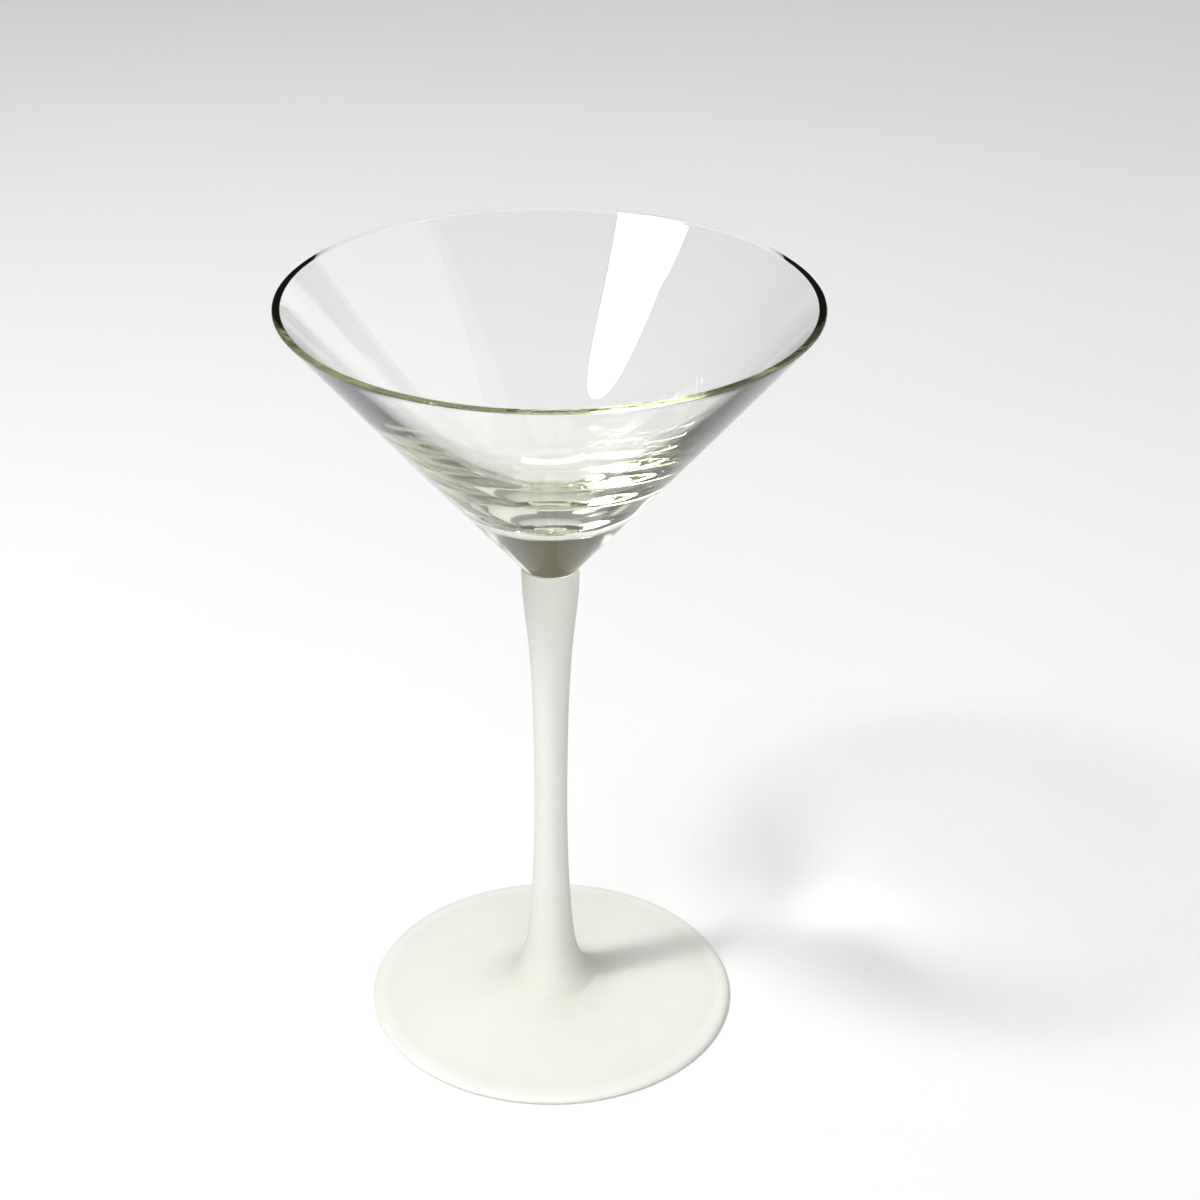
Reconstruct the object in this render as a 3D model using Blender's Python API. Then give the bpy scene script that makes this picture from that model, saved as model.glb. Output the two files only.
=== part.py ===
"""A martini glass in three pieces of glass.

They are a clear conical bowl with a solid base, a frosted stem and a frosted foot. Every piece is turned
about the world Z axis. The glass stands on z = 0, and lengths are in metres.
"""

import math

import bmesh
import bpy
from mathutils import Vector
from mathutils.geometry import interpolate_bezier

MM = 0.001

# Driving dimensions
HEIGHT = 178.0 * MM
RIM_RADIUS = 57.55 * MM
JOIN_HEIGHT = 116.0 * MM
JOIN_RADIUS = 6.45 * MM
FOOT_RADIUS = 42.75 * MM
WAIST_RADIUS = 3.78 * MM
WAIST_HEIGHT = 55.0 * MM
PIECE_GAP = 0.3 * MM

# Bowl: its inside is a cone that points at WELL_APEX and rounds off at WELL_HEIGHT
CONE_BULGE = 0.25 * MM
BULGE_FADE = 1.0 / 3.0
RIM_WALL = 1.35 * MM
WELL_HEIGHT = 132.3 * MM
WELL_APEX = 108.5 * MM
WELL_POWER = 2.5
INNER_STEPS = 40
OUTER_STEPS = 10
RIM_STEPS = 8
BOWL_SIDES = 72

# Stem: a handle is where the curve at that end is heading, and a pair is (radius, height)
NECK_JOIN_HANDLE = 100.4 * MM
NECK_WAIST_HANDLE = 103.5 * MM
SHIN_WAIST_HANDLE = 36.0 * MM
SHIN_ANKLE_HANDLE = (5.0 * MM, 18.0 * MM)
ANKLE = (6.1 * MM, 14.0 * MM)
FLARE_ANKLE_HANDLE = (7.0 * MM, 10.8 * MM)
FLARE_SOLE_HANDLE = (8.4 * MM, 7.0 * MM)
SOLE_RADIUS = 10.4 * MM
SOLE_HEIGHT = 5.6 * MM
NECK_STEPS = 12
SHIN_STEPS = 6
FLARE_STEPS = 6
STEM_SIDES = 40

# Foot
BOSS_SOLE_HANDLE = (11.8 * MM, 4.5 * MM)
BOSS_TOE_HANDLE = (13.5 * MM, 3.9 * MM)
BOSS_TOE = (16.0 * MM, 3.7 * MM)
EDGE_HEIGHT = 1.95 * MM
EDGE_BEVEL = 2.2 * MM
EDGE_ROUND = 0.85 * MM
BEVEL_SHOULDER_HANDLE = (FOOT_RADIUS - 0.9 * MM, 1.85 * MM)
BEVEL_EDGE_HANDLE = (FOOT_RADIUS, 1.6 * MM)
REST_RING_INNER = 35.0 * MM
HOLLOW_DEPTH = 0.7 * MM
HOLLOW_RING_HANDLE = (32.0 * MM, 0.3 * MM)
HOLLOW_CROWN_HANDLE = (20.0 * MM, HOLLOW_DEPTH)
BOSS_STEPS = 5
BEVEL_STEPS = 6
UNDER_EDGE_STEPS = 4
HOLLOW_STEPS = 6
FOOT_SIDES = 72

# Materials
CLEAR_COLOUR = (0.93, 0.96, 0.93)
STEM_COLOUR = (0.86, 0.88, 0.85)
FOOT_COLOUR = (0.88, 0.9, 0.86)
CLEAR_ROUGHNESS = 0.02
STEM_ROUGHNESS = 0.55
FOOT_ROUGHNESS = 0.6
CLEAR_TRANSMISSION = 1.0
FROSTED_TRANSMISSION = 0.5


def clear_scene():
    for thing in list(bpy.data.objects):
        bpy.data.objects.remove(thing, do_unlink=True)


def glass(name, colour, roughness, transmission):
    material = bpy.data.materials.new(name)
    material.use_nodes = True
    shader = material.node_tree.nodes["Principled BSDF"]
    shader.inputs["Base Color"].default_value = (*colour, 1.0)
    shader.inputs["Roughness"].default_value = roughness
    shader.inputs["Metallic"].default_value = 0.0
    shader.inputs["Transmission Weight"].default_value = transmission
    return material


def bezier(start, start_handle, end_handle, end, steps):
    """Points of one cubic curve in the (radius, height) plane, both ends included."""
    knots = [Vector((x, z, 0.0)) for x, z in (start, start_handle, end_handle, end)]
    return [(p.x, p.y) for p in interpolate_bezier(*knots, steps + 1)]


def arc(centre, radius, from_degrees, to_degrees, steps):
    """Points of a circular arc, both ends included, with angles counted from +radius towards +height."""
    points = []
    for i in range(steps + 1):
        angle = math.radians(from_degrees + (to_degrees - from_degrees) * i / steps)
        x = centre[0] + radius * math.cos(angle)
        z = centre[1] + radius * math.sin(angle)
        points.append((x, z))
    return points


def turned(name, profile, sides, material):
    """A closed piece turned from a profile that starts and ends on the axis and runs down its outer side."""
    mesh = bpy.data.meshes.new(name)
    shape = bmesh.new()
    corners = [shape.verts.new((radius, 0.0, height)) for radius, height in profile]
    for first, second in zip(corners, corners[1:]):
        shape.edges.new((first, second))
    shape.to_mesh(mesh)
    shape.free()
    piece = bpy.data.objects.new(name, mesh)
    bpy.context.scene.collection.objects.link(piece)
    mesh.materials.append(material)
    screw = piece.modifiers.new("turn", "SCREW")
    screw.axis = "Z"
    screw.angle = math.tau
    screw.steps = sides
    screw.render_steps = sides
    screw.use_merge_vertices = True
    screw.merge_threshold = 0.00001
    screw.use_smooth_shade = True
    return piece


def cone_bulge(height):
    """How far the bowl's wall bows outwards, which is most half way up."""
    share = (height - JOIN_HEIGHT) / (HEIGHT - JOIN_HEIGHT)
    return CONE_BULGE * math.sin(math.pi * share)


def cone_radius(height):
    """Outer radius of the bowl: a cone whose wall bows slightly outwards."""
    share = (height - JOIN_HEIGHT) / (HEIGHT - JOIN_HEIGHT)
    return JOIN_RADIUS + (RIM_RADIUS - JOIN_RADIUS) * share + cone_bulge(height)


def wall_slope():
    return math.atan2(RIM_RADIUS - JOIN_RADIUS, HEIGHT - JOIN_HEIGHT)


def rounded_cone(height):
    """Radius, before it is scaled, of a cone that points at WELL_APEX and rounds off at WELL_HEIGHT."""
    depth = (height - WELL_APEX) ** WELL_POWER - (WELL_HEIGHT - WELL_APEX) ** WELL_POWER
    return max(depth, 0.0) ** (1.0 / WELL_POWER)


def inner_wall():
    """The inside of the bowl, from the axis up to the rim. Its wall thickens downwards into a solid base."""
    top = HEIGHT - RIM_WALL / 2
    spread = (cone_radius(top) - RIM_WALL / math.cos(wall_slope())) / rounded_cone(top)
    points = []
    for i in range(INNER_STEPS + 1):
        share = i / INNER_STEPS
        height = WELL_HEIGHT + (top - WELL_HEIGHT) * share**2
        bulge = cone_bulge(height) * min(1.0, share / BULGE_FADE)
        points.append((spread * rounded_cone(height) + bulge, height))
    return [(0.0, WELL_HEIGHT)] + points[1:-1]


def bowl_profile():
    slope = math.degrees(wall_slope())
    half_wall = RIM_WALL / 2
    centre = (RIM_RADIUS - half_wall, HEIGHT - half_wall)
    rim = arc(centre, half_wall, 180.0 - slope, -slope, RIM_STEPS)
    outside = []
    for i in range(1, OUTER_STEPS + 1):
        height = rim[-1][1] + (JOIN_HEIGHT - rim[-1][1]) * i / OUTER_STEPS
        outside.append((cone_radius(height), height))
    return inner_wall() + rim + outside + [(0.0, JOIN_HEIGHT)]


def stem_profile():
    """The neck narrows from the bowl to the waist, the shin widens slowly, and the flare meets the foot."""
    top = JOIN_HEIGHT - PIECE_GAP
    join = (JOIN_RADIUS, top)
    waist = (WAIST_RADIUS, WAIST_HEIGHT)
    sole = (SOLE_RADIUS, SOLE_HEIGHT)
    neck = bezier(join, (JOIN_RADIUS, NECK_JOIN_HANDLE), (WAIST_RADIUS, NECK_WAIST_HANDLE), waist, NECK_STEPS)
    shin = bezier(waist, (WAIST_RADIUS, SHIN_WAIST_HANDLE), SHIN_ANKLE_HANDLE, ANKLE, SHIN_STEPS)
    flare = bezier(ANKLE, FLARE_ANKLE_HANDLE, FLARE_SOLE_HANDLE, sole, FLARE_STEPS)
    return [(0.0, top)] + neck + shin[1:] + flare[1:] + [(0.0, SOLE_HEIGHT)]


def foot_profile():
    """A low boss under the stem, a nearly flat disc, a bevelled edge, a resting ring and a shallow hollow."""
    boss_top = SOLE_HEIGHT - PIECE_GAP
    shoulder = (FOOT_RADIUS - EDGE_BEVEL, EDGE_HEIGHT)
    widest = (FOOT_RADIUS, EDGE_ROUND)
    edge_centre = (FOOT_RADIUS - EDGE_ROUND, EDGE_ROUND)
    boss = bezier((SOLE_RADIUS, boss_top), BOSS_SOLE_HANDLE, BOSS_TOE_HANDLE, BOSS_TOE, BOSS_STEPS)
    bevel = bezier(shoulder, BEVEL_SHOULDER_HANDLE, BEVEL_EDGE_HANDLE, widest, BEVEL_STEPS)
    under_edge = arc(edge_centre, EDGE_ROUND, 0.0, -90.0, UNDER_EDGE_STEPS)
    ring = (REST_RING_INNER, 0.0)
    crown = (0.0, HOLLOW_DEPTH)
    hollow = bezier(ring, HOLLOW_RING_HANDLE, HOLLOW_CROWN_HANDLE, crown, HOLLOW_STEPS)
    return [(0.0, boss_top)] + boss + bevel + under_edge[1:] + hollow


def main():
    clear_scene()
    clear = glass("clear_glass", CLEAR_COLOUR, CLEAR_ROUGHNESS, CLEAR_TRANSMISSION)
    frosted_stem = glass("frosted_stem_glass", STEM_COLOUR, STEM_ROUGHNESS, FROSTED_TRANSMISSION)
    frosted_foot = glass("frosted_foot_glass", FOOT_COLOUR, FOOT_ROUGHNESS, FROSTED_TRANSMISSION)
    turned("bowl", bowl_profile(), BOWL_SIDES, clear)
    turned("stem", stem_profile(), STEM_SIDES, frosted_stem)
    turned("foot", foot_profile(), FOOT_SIDES, frosted_foot)


main()
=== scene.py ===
import math

import bpy
from mathutils import Matrix, Vector
from mathutils.geometry import interpolate_bezier


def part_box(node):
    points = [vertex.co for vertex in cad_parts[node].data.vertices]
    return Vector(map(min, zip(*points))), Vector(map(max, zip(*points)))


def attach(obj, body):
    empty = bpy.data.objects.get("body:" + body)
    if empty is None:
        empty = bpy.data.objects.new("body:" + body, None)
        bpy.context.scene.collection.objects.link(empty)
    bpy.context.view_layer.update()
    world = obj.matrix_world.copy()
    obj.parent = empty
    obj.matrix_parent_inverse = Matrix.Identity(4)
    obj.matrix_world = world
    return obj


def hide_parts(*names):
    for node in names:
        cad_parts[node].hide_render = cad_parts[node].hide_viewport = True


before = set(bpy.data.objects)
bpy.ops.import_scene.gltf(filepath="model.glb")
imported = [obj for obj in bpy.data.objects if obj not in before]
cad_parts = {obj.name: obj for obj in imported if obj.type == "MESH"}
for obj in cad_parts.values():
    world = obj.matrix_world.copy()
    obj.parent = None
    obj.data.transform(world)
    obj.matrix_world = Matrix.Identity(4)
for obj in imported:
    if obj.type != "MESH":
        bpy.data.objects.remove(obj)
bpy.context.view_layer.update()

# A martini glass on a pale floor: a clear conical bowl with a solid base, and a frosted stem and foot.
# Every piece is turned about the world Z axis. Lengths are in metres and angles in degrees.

MM = 0.001


def widest(node):
    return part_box(node)[1].x


# Driving dimensions, from the frame
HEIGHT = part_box("bowl")[1].z
RIM_RADIUS = widest("bowl")
JOIN_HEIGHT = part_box("bowl")[0].z
STEM_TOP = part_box("stem")[1].z
SOLE_RADIUS = widest("stem")
FOOT_RADIUS = widest("foot")
FOOT_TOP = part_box("foot")[1].z

# Bowl: its inside is a cone that points at WELL_APEX and rounds off at WELL_HEIGHT
JOIN_RADIUS = 6.45 * MM
CONE_BULGE = 0.25 * MM
BULGE_FADE = 1.0 / 3.0
RIM_WALL = 1.5 * MM
RIM_ROUND = 0.26 * MM
EDGE_TRIM = 1.09 * RIM_ROUND  # how far rounding its outer edge draws the rim in
CONE_TOP_RADIUS = RIM_RADIUS + EDGE_TRIM
WELL_HEIGHT = 132.3 * MM
WELL_APEX = 108.5 * MM
WELL_POWER = 2.5
INNER_STEPS = 180
OUTER_STEPS = 50
RIM_STEPS = 18
BOWL_SIDES = 216

# Stem: a handle is where the curve at that end is heading, and a pair is (radius, height)
WAIST = (3.78 * MM, 55.0 * MM)
NECK_JOIN_HANDLE = (JOIN_RADIUS, 100.4 * MM)
NECK_WAIST_HANDLE = (WAIST[0], 103.5 * MM)
SHIN_WAIST_HANDLE = (WAIST[0], 36.0 * MM)
SHIN_ANKLE_HANDLE = (5.0 * MM, 18.0 * MM)
ANKLE = (6.1 * MM, 14.0 * MM)
FLARE_ANKLE_HANDLE = (7.0 * MM, 10.8 * MM)
FLARE_SOLE_HANDLE = (8.4 * MM, 7.0 * MM)
NECK_STEPS = 48
SHIN_STEPS = 24
FLARE_STEPS = 18
STEM_SIDES = 120
WELD_GAP = 0.02 * MM

# Foot
BOSS_SOLE_HANDLE = (11.8 * MM, 4.5 * MM)
BOSS_TOE_HANDLE = (13.5 * MM, 3.9 * MM)
BOSS_TOE = (16.0 * MM, 3.7 * MM)
EDGE_HEIGHT = 1.95 * MM
EDGE_BEVEL = 2.2 * MM
EDGE_ROUND = 0.85 * MM
BEVEL_SHOULDER_HANDLE = (FOOT_RADIUS - 0.9 * MM, 1.85 * MM)
BEVEL_EDGE_HANDLE = (FOOT_RADIUS, 1.6 * MM)
REST_RING_INNER = 35.0 * MM
HOLLOW_DEPTH = 0.7 * MM
HOLLOW_RING_HANDLE = (32.0 * MM, 0.3 * MM)
HOLLOW_CROWN_HANDLE = (20.0 * MM, HOLLOW_DEPTH)
BOSS_STEPS = 14
DISC_STEPS = 24
BEVEL_STEPS = 14
UNDER_EDGE_STEPS = 10
HOLLOW_STEPS = 24
FOOT_SIDES = 216

SHARP_ANGLE = 40.0  # edges that turn by more than this are shaded as sharp


# Profiles in the (radius, height) plane. Each starts and ends on the axis and runs down its outer side.


def bezier(start, start_handle, end_handle, end, steps):
    """Points of one cubic curve, both ends included."""
    knots = [Vector((x, z, 0.0)) for x, z in (start, start_handle, end_handle, end)]
    return [(p.x, p.y) for p in interpolate_bezier(*knots, steps + 1)]


def arc(centre, radius, from_degrees, to_degrees, steps):
    """Points of a circular arc, both ends included, with angles counted from +radius towards +height."""
    points = []
    for i in range(steps + 1):
        angle = math.radians(from_degrees + (to_degrees - from_degrees) * i / steps)
        x = centre[0] + radius * math.cos(angle)
        z = centre[1] + radius * math.sin(angle)
        points.append((x, z))
    return points


def line(start, end, steps):
    """Points of a straight stretch, without its two ends."""
    a = Vector(start)
    b = Vector(end)
    return [tuple(a.lerp(b, i / steps)) for i in range(1, steps)]


def cone_bulge(height):
    """How far the bowl's wall bows outwards, which is most half way up."""
    share = (height - JOIN_HEIGHT) / (HEIGHT - JOIN_HEIGHT)
    return CONE_BULGE * math.sin(math.pi * share)


def cone_radius(height):
    """Outer radius of the bowl: a cone whose wall bows slightly outwards."""
    share = (height - JOIN_HEIGHT) / (HEIGHT - JOIN_HEIGHT)
    return JOIN_RADIUS + (CONE_TOP_RADIUS - JOIN_RADIUS) * share + cone_bulge(height)


def wall_slope():
    return math.atan2(RIM_RADIUS - JOIN_RADIUS, HEIGHT - JOIN_HEIGHT)


def rounded_cone(height):
    """Radius, before it is scaled, of a cone that points at WELL_APEX and rounds off at WELL_HEIGHT."""
    depth = (height - WELL_APEX) ** WELL_POWER - (WELL_HEIGHT - WELL_APEX) ** WELL_POWER
    return max(depth, 0.0) ** (1.0 / WELL_POWER)


def inner_wall(top):
    """The inside of the bowl, up from the axis. The wall thickens downwards into a solid base."""
    spread = (cone_radius(HEIGHT) - RIM_WALL / math.cos(wall_slope())) / rounded_cone(HEIGHT)
    points = []
    for i in range(1, INNER_STEPS + 1):
        share = i / INNER_STEPS
        height = WELL_HEIGHT + (top - WELL_HEIGHT) * share**2
        bulge = cone_bulge(height) * min(1.0, share / BULGE_FADE)
        points.append((spread * rounded_cone(height) + bulge, height))
    return [(0.0, WELL_HEIGHT)] + points


def bowl_profile():
    """The rim is flat on top, and fire polishing has rounded both of its edges."""
    slope = wall_slope()
    lean = math.degrees(slope)
    inside = inner_wall(HEIGHT - RIM_ROUND * (1.0 - math.sin(slope)))
    inner_centre = (inside[-1][0] + RIM_ROUND * math.cos(slope), HEIGHT - RIM_ROUND)
    inner_edge = arc(inner_centre, RIM_ROUND, 180.0 - lean, 90.0, RIM_STEPS)
    top = HEIGHT - RIM_ROUND * (1.0 + math.sin(slope))
    outer_centre = (cone_radius(top) - RIM_ROUND * math.cos(slope), HEIGHT - RIM_ROUND)
    outer_edge = arc(outer_centre, RIM_ROUND, 90.0, -lean, RIM_STEPS)
    outside = []
    for i in range(1, OUTER_STEPS + 1):
        height = top + (JOIN_HEIGHT - top) * i / OUTER_STEPS
        outside.append((cone_radius(height), height))
    return inside + inner_edge[1:] + outer_edge + outside + [(0.0, JOIN_HEIGHT)]


def stem_profile():
    """The neck narrows from the bowl to the waist, the shin widens slowly, and the flare meets the foot."""
    join = (JOIN_RADIUS, STEM_TOP)
    sole = (SOLE_RADIUS, FOOT_TOP + WELD_GAP)
    neck = bezier(join, NECK_JOIN_HANDLE, NECK_WAIST_HANDLE, WAIST, NECK_STEPS)
    shin = bezier(WAIST, SHIN_WAIST_HANDLE, SHIN_ANKLE_HANDLE, ANKLE, SHIN_STEPS)
    flare = bezier(ANKLE, FLARE_ANKLE_HANDLE, FLARE_SOLE_HANDLE, sole, FLARE_STEPS)
    return [(0.0, STEM_TOP)] + neck + shin[1:] + flare[1:] + [(0.0, FOOT_TOP + WELD_GAP)]


def foot_profile():
    """A low boss, a nearly flat disc, a bevelled edge, a resting ring and a shallow hollow."""
    shoulder = (FOOT_RADIUS - EDGE_BEVEL, EDGE_HEIGHT)
    edge_centre = (FOOT_RADIUS - EDGE_ROUND, EDGE_ROUND)
    edge = (FOOT_RADIUS, EDGE_ROUND)
    boss = bezier((SOLE_RADIUS, FOOT_TOP), BOSS_SOLE_HANDLE, BOSS_TOE_HANDLE, BOSS_TOE, BOSS_STEPS)
    disc = line(BOSS_TOE, shoulder, DISC_STEPS)
    bevel = bezier(shoulder, BEVEL_SHOULDER_HANDLE, BEVEL_EDGE_HANDLE, edge, BEVEL_STEPS)
    under_edge = arc(edge_centre, EDGE_ROUND, 0.0, -90.0, UNDER_EDGE_STEPS)
    ring = (REST_RING_INNER, 0.0)
    crown = (0.0, HOLLOW_DEPTH)
    hollow = bezier(ring, HOLLOW_RING_HANDLE, HOLLOW_CROWN_HANDLE, crown, HOLLOW_STEPS)
    return [(0.0, FOOT_TOP)] + boss + disc + bevel + under_edge[1:] + hollow[:-1] + [crown]


def turned(name, profile, sides, material):
    """A closed piece turned about Z. A point on the axis is one corner, with triangles around it."""
    corners = []
    rings = []
    for radius, height in profile:
        around = 1 if radius == 0.0 else sides
        rings.append([len(corners) + k for k in range(around)] * (sides // around))
        for k in range(around):
            angle = math.tau * k / sides
            corners.append((radius * math.cos(angle), radius * math.sin(angle), height))
    faces = []
    for upper, lower in zip(rings, rings[1:]):
        for k in range(sides):
            after = (k + 1) % sides
            loop = (upper[after], upper[k], lower[k], lower[after])
            faces.append(tuple(dict.fromkeys(loop)))
    mesh = bpy.data.meshes.new(name)
    mesh.from_pydata(corners, [], faces)
    mesh.shade_smooth()
    mesh.set_sharp_from_angle(angle=math.radians(SHARP_ANGLE))
    mesh.materials.append(material)
    piece = bpy.data.objects.new(name, mesh)
    bpy.context.scene.collection.objects.link(piece)
    return piece


# Materials. Noise scales are in features per metre, and depths are in metres. A range of roughness is what
# the noise gives at its lowest and its highest. A tone is a place from 0 to 1 and the colour there.

GLASS_IOR = 1.5
NOISE_RANGE = (0.3, 0.7)
NOISE_DETAIL = 3.0

CLEAR_POLISH_SCALE = 90.0
CLEAR_ROUGHNESS = (0.0, 0.004)
DRAW_MARK_SCALE = 45.0
DRAW_MARK_DETAIL = 1.0
DRAW_MARK_DEPTH = 0.012 * MM
TINT = (0.51, 0.58, 0.28, 1.0)
TINT_DENSITY = 12.0

FROSTED_TRANSMISSION = 0.12
CLOUD_SCALE = 120.0
CLOUD_DETAIL = 4.0
CLEAR_OF_CLOUD = (1.0, 1.0, 1.0)
CLOUD = (0.975, 0.98, 0.965)
ETCHING_SCALE = 260.0
STEM_ROUGHNESS = (0.5, 0.62)
FOOT_ROUGHNESS = (0.55, 0.68)
GRAIN_SCALE = 3800.0
GRAIN_DETAIL = 2.0
GRAIN_DEPTH = 0.03 * MM
PEEL_SCALE = 700.0
PEEL_DEPTH = 0.01 * MM
# Painted shade: a darker, greener tone where the stem's flare meets the foot's boss
JUNCTION_SHADE = (0.71, 0.725, 0.645)
# Painted shade up the stem: darker and greener at its sole beside the foot and at its top under the bowl
STEM_SHADE_TONES = (
    (0.0, JUNCTION_SHADE),
    (0.1, (0.735, 0.75, 0.69)),
    (0.25, (0.75, 0.76, 0.72)),
    (0.7, (0.74, 0.75, 0.715)),
    (1.0, (0.715, 0.73, 0.67)),
)
# Painted shade and highlight across the foot: darker and greener round the stem, and a painted highlight as
# a lighter ring at the bevel's shoulder
FOOT_SHADE_AND_HIGHLIGHT_TONES = (
    (0.22, JUNCTION_SHADE),
    (0.42, (0.81, 0.82, 0.765)),
    (0.7, (0.825, 0.835, 0.785)),
    (0.915, (0.82, 0.83, 0.77)),
    (0.94, (0.86, 0.865, 0.81)),
    (1.0, (0.83, 0.84, 0.785)),
)

FLOOR_PALE = (0.865, 0.865, 0.865)
FLOOR_DIM = (0.85, 0.85, 0.85)
FLOOR_MOTTLE_SCALE = 6.0
FLOOR_GRAIN_SCALE = 40.0
FLOOR_ROUGHNESS = (0.82, 0.92)
FADE_START = 0.9
FADE_END = 1.5


def new_material(name):
    """A Principled material, with its node tree and shader."""
    material = bpy.data.materials.new(name)
    material.use_nodes = True
    tree = material.node_tree
    return material, tree, tree.nodes["Principled BSDF"]


def object_place(tree):
    """Where the shaded point is, in the object's own metres."""
    return tree.nodes.new("ShaderNodeTexCoord").outputs["Object"]


def noise(tree, scale, detail=NOISE_DETAIL):
    made = tree.nodes.new("ShaderNodeTexNoise")
    made.inputs["Scale"].default_value = scale
    made.inputs["Detail"].default_value = detail
    tree.links.new(object_place(tree), made.inputs["Vector"])
    return made.outputs["Fac"]


def rescaled(tree, value, before, after=(0.0, 1.0)):
    """A value that goes over the range after while its source goes over the range before."""
    made = tree.nodes.new("ShaderNodeMapRange")
    made.inputs["From Min"].default_value = before[0]
    made.inputs["From Max"].default_value = before[1]
    made.inputs["To Min"].default_value = after[0]
    made.inputs["To Max"].default_value = after[1]
    tree.links.new(value, made.inputs["Value"])
    return made.outputs["Result"]


def mixed(tree, share, first, second):
    """The first colour where share is 0 and the second where it is 1. Both are sockets."""
    made = tree.nodes.new("ShaderNodeMix")
    made.data_type = "RGBA"
    tree.links.new(share, made.inputs["Factor"])
    tree.links.new(first, made.inputs["A"])
    tree.links.new(second, made.inputs["B"])
    return made.outputs["Result"]


def multiplied(tree, first, second):
    made = tree.nodes.new("ShaderNodeMix")
    made.data_type = "RGBA"
    made.blend_type = "MULTIPLY"
    made.inputs["Factor"].default_value = 1.0
    tree.links.new(first, made.inputs["A"])
    tree.links.new(second, made.inputs["B"])
    return made.outputs["Result"]


def blended(tree, share, first, second):
    """The first colour where share is 0 and the second where it is 1. Both are red, green and blue."""
    made = tree.nodes.new("ShaderNodeMix")
    made.data_type = "RGBA"
    made.inputs["A"].default_value = (*first, 1.0)
    made.inputs["B"].default_value = (*second, 1.0)
    tree.links.new(share, made.inputs["Factor"])
    return made.outputs["Result"]


def shaded(tree, share, tones):
    """A colour that runs through tones as share goes from 0 to 1."""
    ramp = tree.nodes.new("ShaderNodeValToRGB")
    tree.links.new(share, ramp.inputs["Fac"])
    marks = ramp.color_ramp.elements
    marks.remove(marks[1])
    marks[0].position = tones[0][0]
    marks[0].color = (*tones[0][1], 1.0)
    for position, colour in tones[1:]:
        marks.new(position).color = (*colour, 1.0)
    return ramp.outputs["Color"]


def bumped(tree, height, depth, under=None):
    """A normal from a height map whose full range is depth, on top of another normal if one is given."""
    made = tree.nodes.new("ShaderNodeBump")
    made.inputs["Distance"].default_value = depth
    tree.links.new(height, made.inputs["Height"])
    if under:
        tree.links.new(under, made.inputs["Normal"])
    return made.outputs["Normal"]


def clear_glass():
    """Colourless glass that turns green only where light goes through a lot of it."""
    material, tree, shader = new_material("clear_glass")
    shader.inputs["Base Color"].default_value = (1.0, 1.0, 1.0, 1.0)
    shader.inputs["IOR"].default_value = GLASS_IOR
    shader.inputs["Transmission Weight"].default_value = 1.0
    polish = rescaled(tree, noise(tree, CLEAR_POLISH_SCALE), NOISE_RANGE, CLEAR_ROUGHNESS)
    tree.links.new(polish, shader.inputs["Roughness"])
    draw_marks = bumped(tree, noise(tree, DRAW_MARK_SCALE, DRAW_MARK_DETAIL), DRAW_MARK_DEPTH)
    tree.links.new(draw_marks, shader.inputs["Normal"])
    tint = tree.nodes.new("ShaderNodeVolumeAbsorption")
    tint.inputs["Color"].default_value = TINT
    tint.inputs["Density"].default_value = TINT_DENSITY
    tree.links.new(tint.outputs["Volume"], tree.nodes["Material Output"].inputs["Volume"])
    return material


def up_the_stem(tree):
    """0 at the sole of the stem and 1 at its top."""
    axes = tree.nodes.new("ShaderNodeSeparateXYZ")
    tree.links.new(object_place(tree), axes.inputs["Vector"])
    return rescaled(tree, axes.outputs["Z"], (FOOT_TOP, STEM_TOP))


def across_the_foot(tree):
    """0 at the centre of the foot and 1 at its edge."""
    flat = tree.nodes.new("ShaderNodeVectorMath")
    flat.operation = "MULTIPLY"
    flat.inputs[1].default_value = (1.0, 1.0, 0.0)
    reach = tree.nodes.new("ShaderNodeVectorMath")
    reach.operation = "LENGTH"
    tree.links.new(object_place(tree), flat.inputs[0])
    tree.links.new(flat.outputs["Vector"], reach.inputs[0])
    return rescaled(tree, reach.outputs["Value"], (0.0, FOOT_RADIUS))


def frosted_glass(name, position, tones, roughness):
    """Etched glass: a fine grain and a soft peel, under clouds of slightly uneven etching."""
    material, tree, shader = new_material(name)
    shader.inputs["IOR"].default_value = GLASS_IOR
    shader.inputs["Transmission Weight"].default_value = FROSTED_TRANSMISSION
    # Painted shade, and on the foot a painted highlight: the base colour runs through the given tones
    tone = shaded(tree, position(tree), tones)
    cloudiness = rescaled(tree, noise(tree, CLOUD_SCALE, CLOUD_DETAIL), NOISE_RANGE)
    clouds = blended(tree, cloudiness, CLEAR_OF_CLOUD, CLOUD)
    tree.links.new(multiplied(tree, tone, clouds), shader.inputs["Base Color"])
    etching = rescaled(tree, noise(tree, ETCHING_SCALE), NOISE_RANGE, roughness)
    tree.links.new(etching, shader.inputs["Roughness"])
    grain = bumped(tree, noise(tree, GRAIN_SCALE, GRAIN_DETAIL), GRAIN_DEPTH)
    peel = bumped(tree, noise(tree, PEEL_SCALE), PEEL_DEPTH, grain)
    tree.links.new(peel, shader.inputs["Normal"])
    return material


def fade_out(tree):
    """1 up to FADE_START from the middle of the floor, and 0 beyond FADE_END."""
    reach = tree.nodes.new("ShaderNodeVectorMath")
    reach.operation = "LENGTH"
    tree.links.new(object_place(tree), reach.inputs[0])
    opacity = rescaled(tree, reach.outputs["Value"], (FADE_START, FADE_END), (1.0, 0.0))
    opacity.node.interpolation_type = "SMOOTHSTEP"
    return opacity


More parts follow.
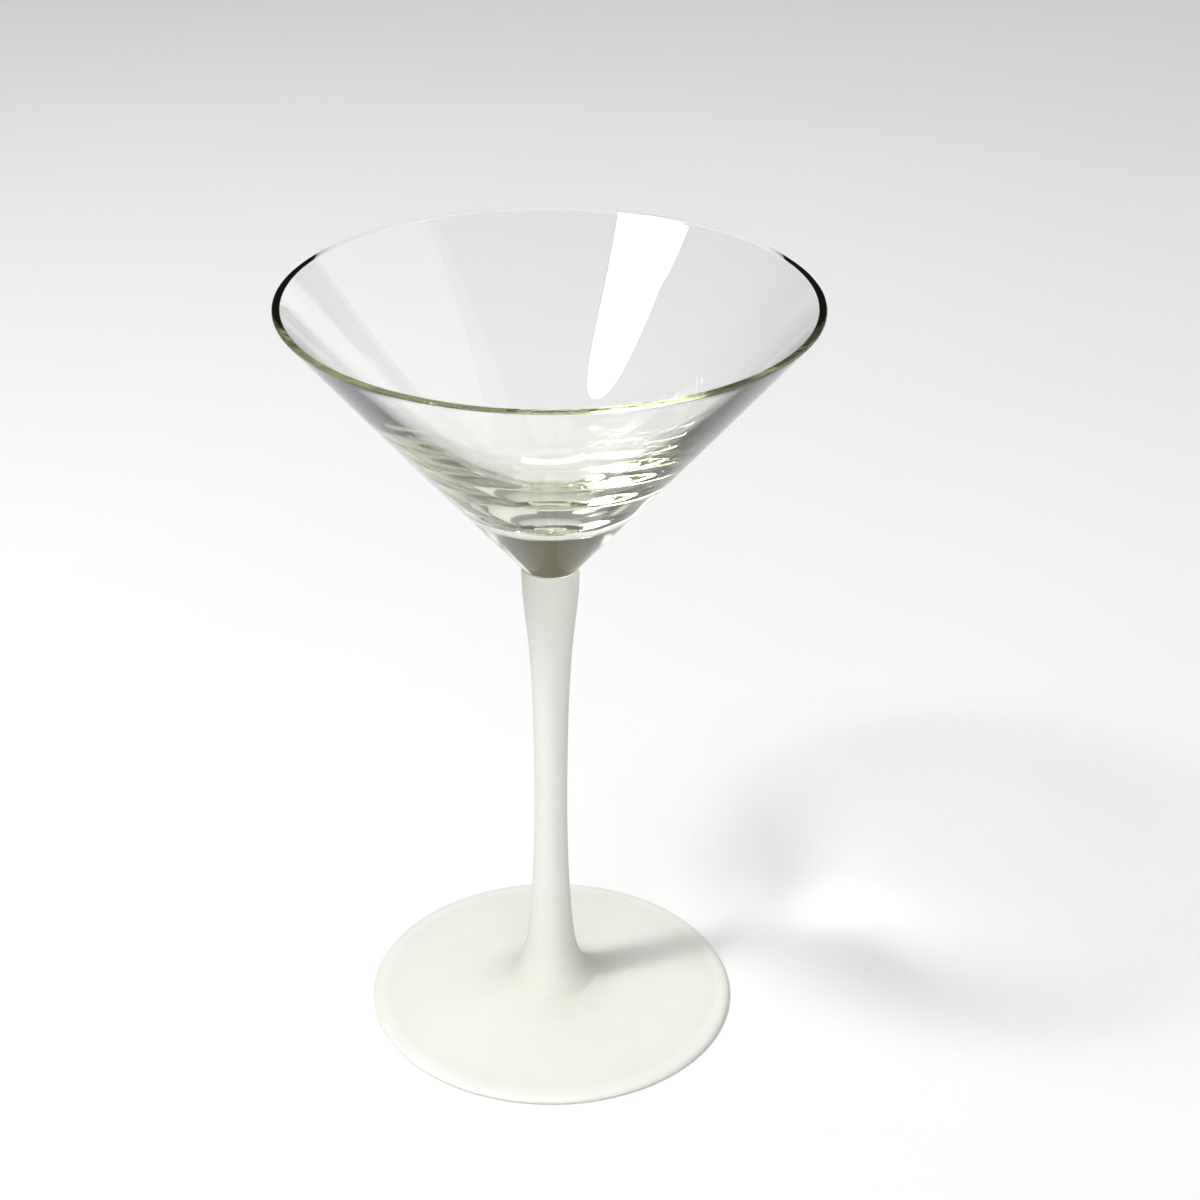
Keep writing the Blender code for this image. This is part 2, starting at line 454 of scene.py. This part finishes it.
def floor_surface():
    """A pale matt surface that turns transparent far out, so that it has no edge."""
    material, tree, shader = new_material("floor")
    mottle = rescaled(tree, noise(tree, FLOOR_MOTTLE_SCALE), NOISE_RANGE)
    tree.links.new(blended(tree, mottle, FLOOR_PALE, FLOOR_DIM), shader.inputs["Base Color"])
    grain = rescaled(tree, noise(tree, FLOOR_GRAIN_SCALE), NOISE_RANGE, FLOOR_ROUGHNESS)
    tree.links.new(grain, shader.inputs["Roughness"])
    tree.links.new(fade_out(tree), shader.inputs["Alpha"])
    return material


# Stage, light and camera

FLOOR_RADIUS = 3.0
FLOOR_SIDES = 96

# A lamp is its name, azimuth, elevation, distance, size, watts, shape and roll. Azimuth runs from the
# camera's side (-Y) towards the left (-X), and the distance is from the middle of the glass.
LAMPS = (
    ("key", 65.0, 57.0, 1.21, (0.48, 0.25), 5.9, "ELLIPSE", 38.0),
    ("key_centre", 65.0, 57.0, 1.2, (0.15, 0.15), 5.9, "DISK", 0.0),
    ("front_panel", 0.0, 36.0, 1.5, (1.2, 0.6), 3.6, "RECTANGLE", 0.0),
    ("front_low", 8.0, 7.0, 1.5, (1.5, 0.6), 8.8, "RECTANGLE", 0.0),
    ("right_panel", 275.0, 35.0, 2.0, (3.0, 1.35), 11.0, "RECTANGLE", 0.0),
    ("back_strip", 175.0, 59.0, 1.5, (1.1, 0.3), 5.8, "RECTANGLE", 0.0),
    ("back_low", 204.0, 9.0, 2.0, (1.3, 0.55), 1.6, "RECTANGLE", 0.0),
)

# The room's tones go up from the horizon at 0 to overhead at 1
AMBIENT = (0.13, 0.13, 0.13, 1.0)
HORIZON = (0.32, 0.32, 0.32)
WALLS = (0.05, 0.05, 0.05)
CEILING = (0.075, 0.062, 0.004)
BACKDROP = (0.7, 0.7, 0.7)
BACKDROP_TONES = ((0.24, BACKDROP), (0.34, WALLS), (1.0, CEILING))
MIRRORED_TONES = ((0.12, HORIZON), (0.24, WALLS), (1.0, CEILING))

CAMERA_PLACE = (0.0, -0.48686, 0.37001)
CAMERA_PITCH = 28.366
CAMERA_YAW = 1.2875
CAMERA_ROLL = 0.5094
CAMERA_LENS_MM = 75.0
CAMERA_SENSOR_MM = 36.0
CAMERA_NEAREST = 0.01

LIGHT_BOUNCES = 24


def floor():
    around = [math.tau * k / FLOOR_SIDES for k in range(FLOOR_SIDES)]
    corners = [(FLOOR_RADIUS * math.cos(a), FLOOR_RADIUS * math.sin(a), 0.0) for a in around]
    mesh = bpy.data.meshes.new("floor")
    mesh.from_pydata(corners, [], [tuple(range(FLOOR_SIDES))])
    mesh.materials.append(floor_surface())
    made = bpy.data.objects.new("floor", mesh)
    bpy.context.scene.collection.objects.link(made)


def softbox(name, azimuth, elevation, distance, size, watts, shape, roll):
    """A lamp that faces the middle of the glass and that the camera doesn't see."""
    a = math.radians(azimuth)
    e = math.radians(elevation)
    towards = Vector((-math.sin(a) * math.cos(e), -math.cos(a) * math.cos(e), math.sin(e)))
    lamp = bpy.data.lights.new(name, "AREA")
    lamp.shape = shape
    lamp.size = size[0]
    lamp.size_y = size[1]
    lamp.energy = watts
    made = bpy.data.objects.new(name, lamp)
    made.location = Vector((0.0, 0.0, HEIGHT / 2)) + towards * distance
    facing = towards.to_track_quat("Z", "Y").to_matrix()
    made.rotation_euler = (facing @ Matrix.Rotation(math.radians(roll), 3, "Z")).to_euler()
    made.visible_camera = False
    bpy.context.scene.collection.objects.link(made)


def has_reflected(tree, ray):
    """1 for a ray that has been reflected on its way from the camera, and 0 for one that hasn't."""
    made = tree.nodes.new("ShaderNodeMath")
    made.operation = "GREATER_THAN"
    made.inputs[1].default_value = 0.5
    tree.links.new(ray.outputs["Glossy Depth"], made.inputs[0])
    return made.outputs["Value"]


def room():
    """Matt surfaces see the ambient light, reflections a dim room, and all else a pale backdrop."""
    world = bpy.data.worlds.new("room")
    world.use_nodes = True
    bpy.context.scene.world = world
    tree = world.node_tree
    direction = tree.nodes.new("ShaderNodeTexCoord")
    axes = tree.nodes.new("ShaderNodeSeparateXYZ")
    tree.links.new(direction.outputs["Generated"], axes.inputs["Vector"])
    ray = tree.nodes.new("ShaderNodeLightPath")
    backdrop = shaded(tree, axes.outputs["Z"], BACKDROP_TONES)
    mirrored = shaded(tree, axes.outputs["Z"], MIRRORED_TONES)
    seen = mixed(tree, has_reflected(tree, ray), backdrop, mirrored)
    ambient = tree.nodes.new("ShaderNodeRGB")
    ambient.outputs["Color"].default_value = AMBIENT
    lit = mixed(tree, ray.outputs["Is Diffuse Ray"], seen, ambient.outputs["Color"])
    tree.links.new(lit, tree.nodes["Background"].inputs["Color"])


def studio():
    """An oval key with a hot centre, and dimmer panels in front, on the right and at the back."""
    for lamp in LAMPS:
        softbox(*lamp)
    room()


def camera():
    """Looks down at the glass by CAMERA_PITCH, turned CAMERA_YAW to the right and tilted by CAMERA_ROLL."""
    lens = bpy.data.cameras.new("camera")
    lens.lens = CAMERA_LENS_MM
    lens.sensor_width = CAMERA_SENSOR_MM
    lens.clip_start = CAMERA_NEAREST
    made = bpy.data.objects.new("camera", lens)
    made.location = CAMERA_PLACE
    turn = Matrix.Rotation(math.radians(-CAMERA_YAW), 3, "Z")
    tilt = Matrix.Rotation(math.radians(90.0 - CAMERA_PITCH), 3, "X")
    roll = Matrix.Rotation(math.radians(CAMERA_ROLL), 3, "Z")
    made.rotation_euler = (turn @ tilt @ roll).to_euler()
    bpy.context.scene.collection.objects.link(made)
    bpy.context.scene.camera = made


def light_paths():
    """Glass needs many bounces, and the bright patch that it throws on the floor needs unclamped light."""
    cycles = bpy.context.scene.cycles
    cycles.max_bounces = LIGHT_BOUNCES
    cycles.transmission_bounces = LIGHT_BOUNCES
    cycles.glossy_bounces = LIGHT_BOUNCES
    cycles.blur_glossy = 0.0
    cycles.sample_clamp_indirect = 0.0
    cycles.use_denoising = True
    bpy.context.scene.view_settings.view_transform = "Standard"


def glassware():
    """The three pieces, each in place of its CAD node."""
    etched_stem = frosted_glass("frosted_stem_glass", up_the_stem, STEM_SHADE_TONES, STEM_ROUGHNESS)
    etched_foot = frosted_glass("frosted_foot_glass", across_the_foot, FOOT_SHADE_AND_HIGHLIGHT_TONES, FOOT_ROUGHNESS)
    made = {
        "bowl": (turned("bowl_glass", bowl_profile(), BOWL_SIDES, clear_glass()), "clear_glass"),
        "stem": (turned("stem_glass", stem_profile(), STEM_SIDES, etched_stem), "frosted_stem_glass"),
        "foot": (turned("foot_glass", foot_profile(), FOOT_SIDES, etched_foot), "frosted_foot_glass"),
    }
    for node, (piece, slot) in made.items():
        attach(piece, "root")
        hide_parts(node)


glassware()
floor()
studio()
camera()
light_paths()
